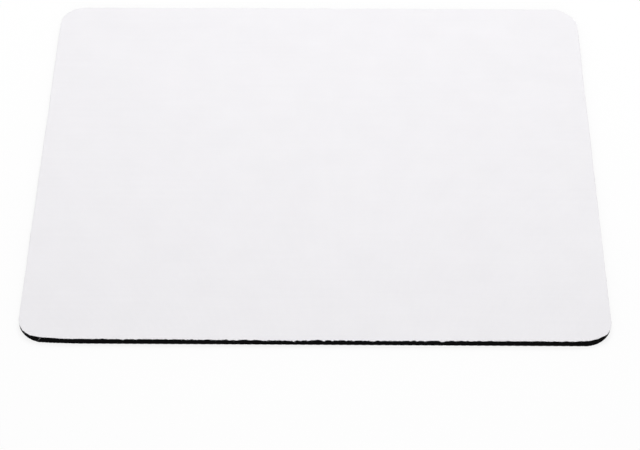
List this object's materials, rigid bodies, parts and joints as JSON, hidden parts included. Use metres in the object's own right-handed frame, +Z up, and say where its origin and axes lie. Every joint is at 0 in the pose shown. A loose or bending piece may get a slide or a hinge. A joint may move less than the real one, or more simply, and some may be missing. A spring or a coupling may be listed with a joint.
{
  "type": "mouse pad",
  "caption": "Flat rectangular mouse pad with rounded corners: a smooth white cloth top bonded to a non-slip black sponge rubber base.",
  "frame": {"origin": "centre of the underside, on the desk", "axes": "+X along the width, to the user's right; +Y along the depth, away from the user; +Z up through the thickness"},
  "size_m": [0.22, 0.18, 0.003],
  "materials": {
    "sponge_rubber": "matte black closed-cell sponge rubber with die-cut sides and a fine non-slip texture underneath",
    "hot_melt_film": "thin milky hot-melt adhesive film",
    "knit_cloth": "matte, close-knitted white polyester with a cut edge"
  },
  "bodies": {
    "root": {"rubber_base": "sponge_rubber", "bonding_film": "hot_melt_film", "top_cloth": "knit_cloth"}
  },
  "joints": []
}
